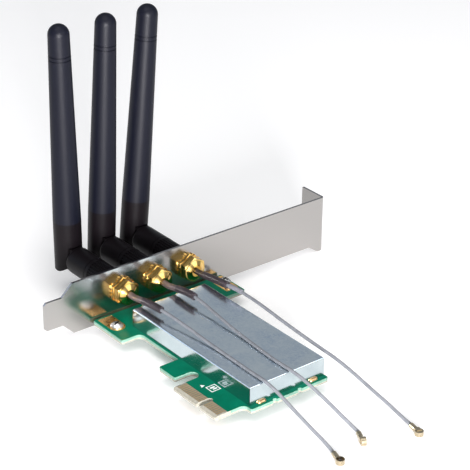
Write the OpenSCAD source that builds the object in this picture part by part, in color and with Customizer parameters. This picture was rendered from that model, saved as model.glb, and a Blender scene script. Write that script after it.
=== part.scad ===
// Full-height expansion card with a short edge connector and three folding antennas.
// Millimetres. +X runs from the bracket to the card's far end, +Y runs along the bracket to its
// screw tab, +Z points up from the component side. The origin is on the tab's outer
// face, in the middle of its screw notch.

/* [Bracket] */
// Length of the bracket, from the tongue's end to the tab's outer face
bracket_len = 120.02; // [112:0.01:130]
// Width of the bracket's plate
bracket_w = 18.42; // [17.5:0.01:21]
// Thickness of the bracket's sheet
sheet_t = 0.86; // [0.7:0.01:1]
// Inside radius of the bracket's bends
bend_r = 0.4; // [0.3:0.05:0.8]
// Length of the narrow tongue
tongue_len = 6.9; // [5:0.1:8]
// Width of the tongue
tongue_w = 10.19; // [9:0.01:11]
// Size of the small bevels on the tongue's end
tongue_bevel = 0.8; // [0.4:0.1:1.2]
// Depth of the screw tab, from the plate's inner face
tab_depth = 11.43; // [10.6:0.01:13]
// How far the flare stands out under the plate's lower edge
flare = 2.9; // [2.5:0.1:3.4]
// Distance from the tab's outer face to where the flare begins
flare_from_end = 6.8; // [5.5:0.1:9]
// Run of the flare's slanted edge
flare_run = 4.2; // [2:0.1:5]
// Width of the screw notch in the tab
notch_w = 4.42; // [3.8:0.01:4.8]
// Distance from the plate's inner face to the middle of the screw notch
notch_from_plate = 6.35; // [5.5:0.01:7]

/* [Bracket ears] */
// Length of each ear under the board, from the plate's inner face
ear_len = 12.4; // [11.9:0.1:14]
// Width of each ear
ear_w = 5.6; // [4.6:0.1:6.4]
// Distance from the tongue's end to the first board screw
screw_1_y = 22.3; // [21.6:0.1:23]
// Distance from the tongue's end to the second board screw
screw_2_y = 69.6; // [68:0.1:69.8]
// Distance from the plate's inner face to the first board screw
screw_1_x = 8.6; // [7:0.1:9.6]
// Distance from the plate's inner face to the second board screw
screw_2_x = 5.8; // [5.4:0.1:9.6]

/* [Board screws] */
// Diameter of the screw's thread
screw_d = 2.5; // [2:0.1:2.6]
// Diameter of the screw's head
screw_head_d = 4.4; // [3.8:0.1:4.6]
// Height of the screw's head
screw_head_h = 1.5; // [1:0.1:2]
// Width of an arm of the cross recess
recess_w = 0.7; // [0.4:0.05:0.9]
// Length of an arm of the cross recess, tip to tip
recess_len = 2.6; // [2:0.1:3]
// Depth of the cross recess
recess_depth = 0.8; // [0.4:0.1:1]

/* [Circuit board] */
// Thickness of the board
board_t = 1.6; // [1.2:0.1:2]
// Gap between the plate's inner face and the board
board_gap = 0.8; // [0.6:0.1:2]
// Distance from the plate's inner face to the board's far end
board_reach = 74.85; // [74:0.05:82]
// Distance from the tongue's end to the lower edge of the board's main part
main_low_y = 25.8; // [25:0.1:26.2]
// Width of the board's main part
main_w = 30.85; // [30.4:0.05:34]
// Distance from the tongue's end to the lower edge of the screw lug beside the tongue
lug_low_y = 18.25; // [17.5:0.05:19]
// Length of that lug, from the plate's inner face
lug_1_reach = 17.3; // [14.5:0.1:20]
// Distance from the tongue's end to the upper edge of the other screw lug
lug_high_y = 71.75; // [71.6:0.05:73]
// Length of the other screw lug, from the plate's inner face
lug_2_reach = 14.4; // [13.4:0.1:16]
// Radius in the board's inner corners
inner_r = 2; // [1:0.1:2.4]
// Radius on the board's outer corners
outer_r = 0.5; // [0.2:0.1:0.8]
// Distance from the plate's inner face to the plain tab
plain_tab_x = 37.7; // [34:0.1:38.5]
// Width of the plain tab
plain_tab_w = 8.4; // [7:0.1:8.8]
// Distance from the tongue's end to the plain tab's end
plain_tab_low_y = 18.2; // [17:0.1:20]
// Radius of the two half-round break-off marks on the far end
break_r = 0.8; // [0.5:0.1:1.1]
// Distance from the board's lower edge to the first break-off mark
break_from_low = 9.3; // [8:0.1:10]
// Distance between the two break-off marks
break_pitch = 10; // [9:0.1:11]

/* [Edge connector] */
// Distance from the plate's inner face to the edge connector
edge_x = 50.2; // [50:0.1:52]
// Length of the contact row on the bracket's side of the key
edge_long = 11.65; // [11.4:0.05:12]
// Width of the key slot
key_w = 1.9; // [1.7:0.05:2]
// Length of the contact row beyond the key
edge_short = 7.65; // [7.4:0.05:8]
// Distance from the tongue's end to the edge connector's lower edge
edge_low_y = 14.5; // [13.5:0.1:15]
// Depth of the key slot
key_depth = 5.6; // [5:0.1:7]
// Depth of the bevel along the lower edge
bevel_len = 1.1; // [0.6:0.1:1.4]
// Height that the bevel takes off each face
bevel_t = 0.45; // [0.2:0.05:0.55]
// Pitch of the contacts
contact_pitch = 1; // [0.95:0.01:1.02]
// Width of a contact
contact_w = 0.7; // [0.5:0.05:0.8]
// Length of a contact
contact_len = 3.5; // [3:0.1:4]
// Distance from the middle of the key to the middle of the nearest contact
contact_from_key = 1.5; // [1.4:0.05:1.6]
// Contacts between the key and the bracket
contacts_long = 11; // [8:1:11]
// Contacts beyond the key
contacts_short = 7; // [5:1:7]
// Height that copper stands on the board
copper_t = 0.05; // [0.03:0.01:0.1]

/* [Shield can] */
// Distance from the plate's inner face to the can
can_x = 11.9; // [11.5:0.1:12.4]
// Length of the can
can_len = 61.2; // [58:0.1:61.8]
// Distance from the tongue's end to the can's lower wall
can_low_y = 26.5; // [26.2:0.1:26.8]
// Width of the can
can_w = 29.8; // [27:0.1:30.1]
// Height of the can
can_h = 6.55; // [5.5:0.05:6.6]
// Thickness of the can's sheet
can_t = 0.3; // [0.2:0.05:0.5]
// Outside radius of the can's folds
can_fold_r = 0.5; // [0.2:0.1:0.9]
// Width of the open slits at the can's upright corners
slit_w = 0.15; // [0.1:0.05:0.3]

/* [Bulkhead connectors] */
// Distance from the tongue's end to the first connector
jack_y = 30; // [29.5:0.1:32]
// Pitch of the three connectors
jack_pitch = 13.8; // [13:0.1:14.5]
// Height of the connectors above the plate's lower edge
jack_z = 10.4; // [10.3:0.1:11]
// Diameter of the threaded barrel
barrel_d = 6.35; // [6:0.05:6.6]
// Length of the barrel outside the bracket
barrel_len = 8.6; // [8.2:0.1:9]
// Bore of the barrel
barrel_bore = 4.6; // [4.2:0.1:5]
// Depth of the barrel's bore
barrel_bore_depth = 7; // [6:0.1:7.6]
// Width of the hexagons across their flats
hex_af = 8; // [7.5:0.1:8.2]
// Length of the body's hexagon
hex_len = 2.8; // [2.4:0.1:3]
// Length of the wider hexagon between it and the washer
wide_hex_len = 1.3; // [1:0.1:1.6]
// How much wider that one is across its flats
wide_hex_more = 0.4; // [0.2:0.1:0.6]
// Thickness of the panel nut
nut_t = 2; // [1.6:0.1:2.4]
// Thickness of the star washer
washer_t = 0.6; // [0.4:0.1:0.8]
// Outside diameter of the star washer
washer_d = 9.2; // [8.8:0.1:9.8]
// Teeth of the star washer
washer_teeth = 20; // [12:1:24]
// Depth of the gaps between the washer's teeth
washer_gap = 0.4; // [0.3:0.1:0.6]
// Diameter of the tapered shoulder where it leaves the hexagon
shoulder_d = 7.2; // [6:0.1:7.4]
// Diameter of the shoulder's small end
shoulder_end_d = 3.8; // [3:0.1:4.6]
// Length of the shoulder
shoulder_len = 1; // [0.8:0.1:1.6]
// Diameter of the crimp stub
stub_d = 1.5; // [1.3:0.1:1.6]
// Length of the crimp stub
stub_len = 2.4; // [2:0.1:3]
// Wall of the crimp ferrule
ferrule_wall = 0.2; // [0.15:0.05:0.25]

/* [Heat-shrink sleeves] */
// Wall of a sleeve over the ferrule
shrink_wall = 0.1; // [0.05:0.05:0.2]
// Diameter of a sleeve's thick stretch and blunt far end
shrink_end_d = 2.5; // [2.2:0.1:2.6]

/* [Cables and plugs] */
// Diameter of the coaxial cables
cable_d = 1.13; // [1:0.01:1.3]
// Diameter of a plug's round shell
plug_d = 2.8; // [2.4:0.1:3]
// Height of a plug's shell
plug_h = 1.5; // [1.3:0.1:1.6]
// Wall of a plug's shell
plug_wall = 0.25; // [0.2:0.05:0.35]
// Diameter of a plug's crimp
plug_crimp_d = 1.7; // [1.5:0.1:1.9]
// Length of a plug's crimp
plug_crimp_len = 3.4; // [2.6:0.1:4]
// Diameter of a plug's insulator
plug_core_d = 1.2; // [0.8:0.1:1.4]

/* [Antenna couplings] */
// Outside diameter of the knurled sleeve
sleeve_d = 9.6; // [9.4:0.1:10]
// Length of the knurled sleeve
sleeve_len = 11.7; // [11.4:0.1:12.4]
// Gap between the panel nut and the sleeve
sleeve_gap = 0.4; // [0.3:0.1:0.8]
// Ribs around the sleeve
sleeve_ribs = 30; // [20:1:36]
// Depth of the grooves between the ribs
rib_depth = 0.35; // [0.2:0.05:0.45]
// Outside diameter of the brass coupling nut
coupling_d = 8.2; // [7.8:0.1:8.4]
// Thickness of the coupling nut's inner lip
coupling_lip = 1; // [0.6:0.1:1.4]
// Bore of the coupling nut's inner lip
coupling_lip_bore = 5; // [4.6:0.1:5.6]
// Thickness of the plug core's flange
core_flange_t = 1.1; // [0.8:0.1:1.4]
// Length of the plug core's barrel
core_barrel_len = 4; // [3:0.1:6]
// Bore of the plug core
core_bore = 1.3; // [1:0.1:1.8]

/* [Antennas] */
// Distance from the bracket's outer face to the fold's axis
fold_reach = 30.7; // [30.3:0.1:33]
// Diameter of the knuckle
knuckle_d = 9.6; // [9.2:0.1:10]
// Rounding on the knuckle's end
knuckle_round = 1.2; // [0.6:0.1:1.6]
// Diameter of the spigot that turns in the sleeve
spigot_d = 6; // [5.4:0.1:6.6]
// Width of the knuckle's tongue
fork_tongue_w = 4.6; // [4:0.1:5]
// Radius of the tongue's round end
fork_tongue_r = 4.2; // [3.8:0.1:4.4]
// Diameter of the pivots on the tongue
pivot_d = 3; // [2.4:0.1:3.4]
// Length of each pivot
pivot_len = 1.1; // [0.8:0.1:1.3]
// Diameter of the antenna at its elbow
whip_d = 9.8; // [9.6:0.1:10.2]
// Distance from the fold's axis down to the elbow's flat end
elbow_drop = 4.9; // [4.6:0.1:5]
// Distance from the fold's axis up to the seam
seam_h = 13.3; // [11:0.1:16]
// Distance from the fold's axis up to the tip
whip_h = 84; // [76:1:92]
// Diameter of the antenna just under its round tip
tip_d = 7.3; // [6.5:0.1:8.4]
// Distance from the tip to the upper ring groove
groove_from_tip = 10.6; // [9:0.1:13]
// Distance between the two ring grooves
groove_pitch = 1.35; // [1.1:0.05:1.8]
// Width of a ring groove
groove_w = 0.5; // [0.3:0.05:0.7]
// Depth of a ring groove
groove_depth = 0.25; // [0.15:0.05:0.4]
// Diameter of the neck that joins the elbow to the cover
neck_d = 5.6; // [4.6:0.1:6.2]
// Length of that neck
neck_len = 6; // [4:0.5:9]
// Lean of the first antenna from upright, towards the tab
lean_1 = -0.5; // [-2:0.5:1]
// Lean of the second antenna
lean_2 = 2.8; // [1:0.1:4]
// Lean of the third antenna
lean_3 = 5.1; // [4:0.1:7]

/* [Fits] */
// Radial clearance of what turns
run_fit = 0.05; // [0.02:0.01:0.08]
// Radial clearance of what is fixed
fixed_fit = 0.03; // [0.02:0.01:0.06]
// Gap between faces that turn past each other
face_gap = 0.2; // [0.15:0.05:0.4]
// Gap between the antenna's round side and the knuckle's end
swing_gap = 0.35; // [0.3:0.05:0.5]
// Radial clearance around a screw in the board
hole_gap = 0.15; // [0.1:0.05:0.25]

/* [Hidden] */
$fn = 64;

// Colours
nickel = [0.80, 0.80, 0.78];
tin = [0.66, 0.70, 0.74];
gold = [0.83, 0.66, 0.28];
brass = [0.80, 0.62, 0.25];
green = [0.00, 0.50, 0.33];
black = [0.10, 0.10, 0.12];
cable_grey = [0.55, 0.56, 0.60];
shrink_grey = [0.22, 0.20, 0.22];
white = [0.93, 0.93, 0.90];
dark = [0.25, 0.20, 0.14];

// Small overlap that makes cuts run past a face
cut = 0.5;

// Bracket
bend_out = bend_r + sheet_t;
shoulder = (bracket_w - tongue_w) / 2;
notch_r = notch_w / 2;
notch_y = bracket_len;
ear_low_1 = screw_1_y - ear_w / 2;
ear_low_2 = screw_2_y - ear_w / 2;

// Board
board_z = sheet_t;
top_z = board_z + board_t;
main_high_y = main_low_y + main_w;
plain_tab_end = plain_tab_x + plain_tab_w;
edge_len = edge_long + key_w + edge_short;
edge_end = edge_x + edge_len;
key_x = edge_x + edge_long + key_w / 2;
tab_slot_r = (edge_x - plain_tab_end) / 2;
tab_slot_y = main_low_y - tab_slot_r - 0.3;
contact_y = edge_low_y + bevel_len + 0.1;
pad_margin = 1.4;
pad_half = 2.8;
screw_r = screw_d / 2;
tapped_r = screw_r + fixed_fit;
board_hole_r = screw_r + hole_gap;
screw_places = [[screw_1_x, screw_1_y], [screw_2_x, screw_2_y]];

// Can
can_end = can_x + can_len;
can_high_y = can_low_y + can_w;
solder_r = 0.9;
solder_inset = 4.5;
solder_half = 0.8;
solder_places = [
    [can_end, can_low_y + solder_inset], [can_end, can_high_y - solder_inset],
    [can_x, can_low_y + solder_inset / 2]
];

// Connectors, with their places along the bracket
jack_ys = [for (i = [0:2]) jack_y + i * jack_pitch];
leans = [lean_1, lean_2, lean_3];
barrel_r = barrel_d / 2;
panel_hole_r = barrel_r + run_fit;
plate_out = -sheet_t;
barrel_end = plate_out - barrel_len;
hex_x = washer_t;
narrow_x = hex_x + wide_hex_len;
shoulder_x = narrow_x + hex_len;
stub_x = shoulder_x + shoulder_len;
stub_r = stub_d / 2;
ferrule_r = stub_r + ferrule_wall;
shrink_r = ferrule_r + shrink_wall;
chamfer_angle = 30;

// Couplings
sleeve_r = sleeve_d / 2;
sleeve_front = plate_out - nut_t - sleeve_gap;
sleeve_back = sleeve_front - sleeve_len;
thread_r = barrel_r + run_fit;
core_end = barrel_end - core_flange_t;
coupling_end = core_end - coupling_lip;
coupling_front = sleeve_front - sleeve_gap;
coupling_r = coupling_d / 2;

// Antennas
fold_x = plate_out - fold_reach;
whip_r = whip_d / 2;
knuckle_r = knuckle_d / 2;
knuckle_end = fold_x + whip_r + swing_gap;
knuckle_start = sleeve_back - face_gap;
spigot_r = spigot_d / 2;
fork_half = fork_tongue_w / 2 + face_gap;
fork_r = fork_tongue_r + swing_gap;
pivot_r = pivot_d / 2;
tip_r = tip_d / 2;
neck_r = neck_d / 2;

// Routes of the three cables: from the sleeve over the can, down to the floor and into the plug.
// They are measured from the plate's inner face, the tongue's end and the plate's lower edge.
route_1 = [
    [21.9, 30.8, 11.6], [26.2, 31.2, 11.4], [30.7, 31.5, 11.0], [36.7, 31.8, 10.6],
    [42.7, 31.9, 10.1], [48.7, 32.0, 9.8], [54.7, 32.0, 9.7], [60.7, 31.9, 9.7],
    [66.7, 31.8, 9.7], [73.2, 31.8, 9.7], [77.7, 32.2, 8.6], [82.2, 32.7, 6.8],
    [86.2, 33.2, 4.9], [90.2, 33.8, 3.0], [93.7, 34.4, 1.2], [96.7, 34.9, -0.2],
    [99.7, 35.1, -1.4], [102.5, 34.7, -2.0]
];
route_2 = [
    [21.7, 44.6, 11.8], [26.2, 44.6, 11.5], [30.7, 44.4, 11.0], [36.7, 43.9, 10.6],
    [42.7, 43.5, 10.1], [48.7, 43.2, 9.8], [54.7, 42.8, 9.7], [60.7, 42.4, 9.7],
    [66.7, 42.1, 9.7], [73.2, 42.2, 9.7], [77.7, 42.7, 8.9], [82.2, 43.6, 7.2],
    [86.2, 44.5, 5.3], [89.7, 45.4, 3.4], [92.7, 46.2, 1.6], [95.2, 46.9, 0.2],
    [97.5, 47.3, -0.9], [99.6, 47.2, -1.5]
];
route_3 = [
    [21.7, 58.2, 11.8], [26.2, 58.7, 12.0], [30.7, 58.9, 11.8], [36.7, 58.9, 11.6],
    [42.7, 58.8, 11.2], [48.7, 58.9, 10.5], [54.7, 59.1, 9.8], [60.7, 59.6, 8.9],
    [66.7, 60.3, 7.9], [72.7, 61.0, 6.9], [78.7, 61.5, 5.6], [84.7, 62.0, 3.9],
    [90.2, 62.5, 2.2], [95.2, 63.0, 0.7], [99.2, 63.3, -0.6], [102.7, 63.5, -1.6],
    [105.5, 63.4, -2.0]
];

// Each plug's heading in the floor plane and its roll about its own cable
plug_headings = [-17, -26, -12];
plug_rolls = [180, 90, 0];
cord_gap = 0.05;

// The last stretch of each route runs level and straight into its plug
function led_in(p, heading) =
    let (end = p[len(p) - 1], along = [cos(heading), sin(heading), 0])
    concat([for (i = [0:len(p) - 2]) p[i]], [end - along, end - along / 2, end]);
cable_routes = [
    led_in(route_1, plug_headings[0]),
    led_in(route_2, plug_headings[1]),
    led_in(route_3, plug_headings[2])
];

// Frame helpers
module placed() translate([notch_from_plate, -notch_y, 0]) children();
module in_yz(x0, x1) translate([x0, 0, 0]) rotate([90, 0, 90]) linear_extrude(x1 - x0) children();
module in_xz(y0, y1) translate([0, y1, 0]) rotate([90, 0, 0]) linear_extrude(y1 - y0) children();
module in_xy(z0, z1) translate([0, 0, z0]) linear_extrude(z1 - z0) children();
module at_jack(i) placed() translate([0, jack_ys[i], jack_z]) children();
module rod_x(x0, x1, r) translate([x0, 0, 0]) rotate([0, 90, 0]) cylinder(h = x1 - x0, r = r);
module tube_x(x0, x1, r_out, r_in) {
    difference() {
        rod_x(x0, x1, r_out);
        rod_x(x0 - cut, x1 + cut, r_in);
    }
}
module box(from, to) translate(from) cube(to - from);
module rect(from, to) translate(from) square(to - from);

// A quarter of a bent sheet, with its middle at the origin, in the quadrant of +x and +y
module bend_quarter() {
    intersection() {
        difference() {
            circle(r = bend_out);
            circle(r = bend_r);
        }
        square(bend_out);
    }
}

// The sheet's L-shaped path, seen from above: plate, bend and tab
module plate_and_tab_path() {
    rect([-sheet_t, 0], [0, bracket_len - bend_out]);
    rect([-tab_depth, bracket_len - sheet_t], [-bend_out, bracket_len]);
    translate([-bend_out, bracket_len - bend_out]) bend_quarter();
}

// The bracket's outline, seen from the card's far end
module bracket_outline() {
    mid = bracket_w / 2;
    half = tongue_w / 2;
    plate_y = tongue_len + shoulder;
    flare_y = bracket_len - flare_from_end;
    polygon([
        [0, mid - half + tongue_bevel], [tongue_bevel, mid - half], [tongue_len, mid - half],
        [plate_y, 0], [flare_y, 0], [flare_y + flare_run, -flare],
        [bracket_len, -flare], [bracket_len, bracket_w],
        [plate_y, bracket_w], [tongue_len, mid + half], [tongue_bevel, mid + half],
        [0, mid + half - tongue_bevel]
    ]);
}

// An ear is folded inwards from the plate's lower edge and carries one tapped hole
module ear(low_y, screw_x, screw_y) {
    difference() {
        union() {
            in_xz(low_y, low_y + ear_w) {
                translate([bend_r, bend_out]) rotate(180) bend_quarter();
                rect([-sheet_t, bend_out], [0, bend_out + cut]);
            }
            in_xy(0, sheet_t) ear_flat(low_y);
        }
        translate([screw_x, screw_y, -cut]) cylinder(h = sheet_t + 2 * cut, r = tapped_r);
    }
}
module ear_flat(low_y) {
    corner = ear_w / 4;
    rect([bend_r, low_y], [ear_len - corner, low_y + ear_w]);
    rect([bend_r, low_y + corner], [ear_len, low_y + ear_w - corner]);
    for (y = [low_y + corner, low_y + ear_w - corner]) {
        translate([ear_len - corner, y]) circle(r = corner);
    }
}

module mounting_bracket() {
    color(nickel) placed() {
        difference() {
            intersection() {
                in_xy(-flare - cut, bracket_w + cut) plate_and_tab_path();
                in_yz(-tab_depth - cut, cut) bracket_outline();
            }
            // the notch for the case's screw
            translate([-notch_from_plate, bracket_len - sheet_t - cut, 0]) {
                rotate([-90, 0, 0]) cylinder(h = sheet_t + 2 * cut, r = notch_r);
            }
            box([-notch_from_plate - notch_r, bracket_len - sheet_t - cut, -flare - cut],
                [-notch_from_plate + notch_r, bracket_len + cut, 0]);
            // one hole for each connector
            for (y = jack_ys) {
                translate([0, y, jack_z]) rod_x(-sheet_t - cut, cut, panel_hole_r);
            }
            // the plate gives way to the two bends
            for (y = [ear_low_1, ear_low_2]) {
                box([-sheet_t - cut, y, -cut], [cut, y + ear_w, bend_out]);
            }
        }
        ear(ear_low_1, screw_1_x, screw_1_y);
        ear(ear_low_2, screw_2_x, screw_2_y);
    }
}

// A concave corner of radius r, whose square corner is at the origin and which fills -x and -y
module corner_fill(r) {
    difference() {
        rect([-cut, -cut], [r, r]);
        translate([r, r]) circle(r = r);
    }
}

// A rectangle with rounded corners
module round_rect(from, to, r) {
    rect([from[0] + r, from[1]], [to[0] - r, to[1]]);
    rect([from[0], from[1] + r], [to[0], to[1] - r]);
    for (x = [from[0] + r, to[0] - r]) {
        for (y = [from[1] + r, to[1] - r]) {
            translate([x, y]) circle(r = r);
        }
    }
}

module board_outline() {
    difference() {
        union() {
            round_rect([board_gap, main_low_y], [board_reach, main_high_y], outer_r);
            round_rect([board_gap, lug_low_y], [lug_1_reach, main_high_y], outer_r);
            round_rect([board_gap, main_low_y], [lug_2_reach, lug_high_y], outer_r);
            translate([lug_1_reach, main_low_y]) mirror([0, 1]) corner_fill(inner_r);
            translate([lug_2_reach, main_high_y]) corner_fill(inner_r);
            round_rect([plain_tab_x, plain_tab_low_y], [plain_tab_end, main_high_y], outer_r);
            round_rect([edge_x, edge_low_y], [edge_end, main_high_y], outer_r);
            translate([edge_end, main_low_y]) mirror([0, 1]) corner_fill(inner_r);
            rect([plain_tab_end - cut, tab_slot_y], [edge_x + cut, main_low_y + cut]);
        }
        translate([plain_tab_end + tab_slot_r, tab_slot_y]) circle(r = tab_slot_r);
        // the key slot, with a round end
        rect([key_x - key_w / 2, edge_low_y - cut],
             [key_x + key_w / 2, edge_low_y + key_depth - key_w / 2]);
        translate([key_x, edge_low_y + key_depth - key_w / 2]) circle(r = key_w / 2);
        for (i = [0, 1]) {
            translate([board_reach, main_low_y + break_from_low + i * break_pitch]) {
                circle(r = break_r);
            }
        }
        for (p = screw_places) translate(p) circle(r = board_hole_r);
    }
}

module circuit_board() {
    color(green) placed() difference() {
        in_xy(board_z, top_z) board_outline();
        // the bevel that leads the contacts into their slot
        in_yz(edge_x - cut, edge_end + cut) {
            polygon([[edge_low_y - cut, top_z + cut], [edge_low_y + bevel_len, top_z + cut],
                     [edge_low_y + bevel_len, top_z], [edge_low_y, top_z - bevel_t],
                     [edge_low_y - cut, top_z - bevel_t]]);
            polygon([[edge_low_y - cut, board_z - cut], [edge_low_y + bevel_len, board_z - cut],
                     [edge_low_y + bevel_len, board_z], [edge_low_y, board_z + bevel_t],
                     [edge_low_y - cut, board_z + bevel_t]]);
        }
    }
}

module contact(x, z) {
    translate([x - contact_w / 2, contact_y, z]) cube([contact_w, contact_len, copper_t]);
}

module edge_contacts() {
    color(gold) placed() for (z = [top_z, board_z - copper_t]) {
        for (i = [0:contacts_long - 1]) contact(key_x - contact_from_key - i * contact_pitch, z);
        for (i = [0:contacts_short - 1]) contact(key_x + contact_from_key + i * contact_pitch, z);
    }
}

// Bare gold-plated areas under the two screw heads
module ground_pads() {
    start = board_gap + pad_margin / 2;
    color(gold) placed() in_xy(top_z, top_z + copper_t) for (p = screw_places) difference() {
        low = max(p[1] - pad_half, lug_low_y + outer_r);
        high = min(p[1] + pad_half, lug_high_y - outer_r / 2);
        union() {
            rect([start, low], [p[0], high]);
            translate(p) circle(r = min(pad_half, high - p[1], p[1] - low));
        }
        translate(p) circle(r = board_hole_r);
    }
}

// A wall profile with its two upper corners rounded by the fold
module fold_profile(from, to) {
    rect(from, [to[0], to[1] - can_fold_r]);
    rect([from[0] + can_fold_r, from[1]], [to[0] - can_fold_r, to[1]]);
    for (x = [from[0] + can_fold_r, to[0] - can_fold_r]) {
        translate([x, to[1] - can_fold_r]) circle(r = can_fold_r);
    }
}

// One folded sheet, open towards the board, with an open slit at each upright corner
module shield_can() {
    high = top_z + can_h;
    color(tin) placed() difference() {
        intersection() {
            in_xz(can_low_y, can_high_y) fold_profile([can_x, top_z], [can_end, high]);
            in_yz(can_x, can_end) fold_profile([can_low_y, top_z], [can_high_y, high]);
        }
        box([can_x + can_t, can_low_y + can_t, top_z - cut],
            [can_end - can_t, can_high_y - can_t, high - can_t]);
        for (x = [can_x, can_end - can_t - slit_w]) {
            for (y = [can_low_y - cut, can_high_y - can_t]) {
                box([x + (x == can_x ? can_t : 0), y, top_z - cut],
                    [x + (x == can_x ? can_t : 0) + slit_w, y + can_t + cut, high - can_fold_r]);
            }
        }
    }
}

module solder_joints() {
    color(tin) placed() for (p = solder_places) difference() {
        union() {
            for (y = [-solder_half, solder_half]) {
                translate([p[0], p[1] + y, top_z]) sphere(r = solder_r);
            }
            translate([p[0], p[1] - solder_half, top_z]) rotate([-90, 0, 0]) {
                cylinder(h = 2 * solder_half, r = solder_r);
            }
        }
        box([p[0] - 2 * solder_r, p[1] - 3 * solder_r, top_z - 2 * solder_r],
            [p[0] + 2 * solder_r, p[1] + 3 * solder_r, top_z]);
        box([can_x, can_low_y, top_z - cut], [can_end, can_high_y, top_z + can_h]);
    }
}

// Domed head with a cross recess, and a shank down into the ear
module board_screw(i) {
    head_r = screw_head_d / 2;
    rim_h = screw_head_h / 3;
    dome_h = screw_head_h - rim_h;
    dome_r = (head_r * head_r + dome_h * dome_h) / (2 * dome_h);
    seat = top_z + copper_t;
    color(nickel) placed() translate([screw_places[i][0], screw_places[i][1], 0]) {
        translate([0, 0, sheet_t / 4]) cylinder(h = seat - sheet_t / 4, r = screw_r);
        difference() {
            translate([0, 0, seat]) union() {
                cylinder(h = rim_h, r = head_r);
                intersection() {
                    translate([0, 0, screw_head_h - dome_r]) sphere(r = dome_r);
                    cylinder(h = screw_head_h, r = head_r);
                }
            }
            for (a = [0, 90]) rotate(a + 25) {
                box([-recess_len / 2, -recess_w / 2, seat + screw_head_h - recess_depth],
                    [recess_len / 2, recess_w / 2, seat + screw_head_h + cut]);
            }
        }
    }
}

// A hexagonal length with its outer corners turned off by a cone at the x1 end
module turned_hex(x0, x1, more = 0) {
    flat_r = (hex_af + more) / 2;
    point_r = flat_r / cos(30);
    drop = (point_r - flat_r) * tan(chamfer_angle);
    intersection() {
        in_yz(x0, x1) rotate(30) circle(r = point_r, $fn = 6);
        union() {
            rod_x(x0, x1 - drop, point_r);
            translate([x1 - drop, 0, 0]) rotate([0, 90, 0]) {
                cylinder(h = drop, r1 = point_r, r2 = flat_r);
            }
        }
    }
}

module connector_body(i) {
    color(gold) at_jack(i) difference() {
        union() {
            rod_x(barrel_end, hex_x + cut, barrel_r);
            turned_hex(hex_x, narrow_x, wide_hex_more);
            turned_hex(narrow_x - cut, shoulder_x);
            translate([shoulder_x, 0, 0]) rotate([0, 90, 0]) {
                cylinder(h = shoulder_len, r1 = shoulder_d / 2, r2 = shoulder_end_d / 2);
            }
            rod_x(stub_x - cut, stub_x + stub_len, stub_r);
        }
        rod_x(barrel_end - cut, barrel_end + barrel_bore_depth, barrel_bore / 2);
    }
}

// White insulator at the bottom of the barrel's bore, with the socket for the centre contact
module connector_insulator(i) {
    depth = barrel_bore_depth - core_barrel_len - face_gap;
    back = barrel_end + barrel_bore_depth;
    color(white) at_jack(i) tube_x(back - depth, back, barrel_bore / 2, core_bore / 2);
}

module star_washer(i) {
    gap = 180 / washer_teeth;
    outer = washer_d / 2;
    color(gold) at_jack(i) in_yz(0, washer_t) difference() {
        circle(r = outer);
        circle(r = panel_hole_r);
        for (k = [0:washer_teeth - 1]) rotate(k * 2 * gap) {
            translate([outer - washer_gap, -outer * sin(gap) / 2]) square([2, outer * sin(gap)]);
        }
    }
}

module panel_nut(i) {
    color(gold) at_jack(i) difference() {
        mirror([1, 0, 0]) turned_hex(sheet_t, sheet_t + nut_t);
        rod_x(plate_out - nut_t - cut, plate_out + cut, barrel_r + fixed_fit);
    }
}

module crimp_ferrule(i) {
    color(brass) at_jack(i) tube_x(stub_x, stub_x + stub_len, ferrule_r, stub_r);
}

// Cable: rings of points across a smooth curve through the route, joined into one skin
ring_sides = 8;
sleeve_sides = 24;
ring_steps = 3;
function route_curve(p, i, t) =
    let (a = p[max(i - 1, 0)], b = p[i], c = p[i + 1], d = p[min(i + 2, len(p) - 1)])
    0.5 * (2 * b + (c - a) * t + (2 * a - 5 * b + 4 * c - d) * t * t
           + (3 * b - a - 3 * c + d) * t * t * t);
function curve_points(p) = concat(
    [for (i = [0:len(p) - 2]) for (s = [0:ring_steps - 1]) route_curve(p, i, s / ring_steps)],
    [p[len(p) - 1]]);
function unit(v) = v / norm(v);
function ring_at(q, i, r, n) =
    let (ahead = q[min(i + 1, len(q) - 1)], behind = q[max(i - 1, 0)],
         dir = unit(ahead - behind), side = unit(cross([0, 0, 1], dir)), up = cross(dir, side))
    [for (k = [0:n - 1])
        q[i] + r * (cos(360 * (k + 0.5) / n) * side + sin(360 * (k + 0.5) / n) * up)];
module swept(q, widths, n) {
    rings = len(q);
    points = [for (i = [0:rings - 1]) each ring_at(q, i, widths[i], n)];
    sides = [for (i = [0:rings - 2]) for (k = [0:n - 1])
        let (next = (k + 1) % n)
        [i * n + k, i * n + next, (i + 1) * n + next, (i + 1) * n + k]];
    first = [for (k = [0:n - 1]) n - 1 - k];
    last = [for (k = [0:n - 1]) (rings - 1) * n + k];
    polyhedron(points = points, faces = concat([first], sides, [last]));
}
module coax_cable(i) {
    q = curve_points(cable_routes[i]);
    color(cable_grey) placed() swept(q, [for (p = q) cable_d / 2], ring_sides);
}

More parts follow.
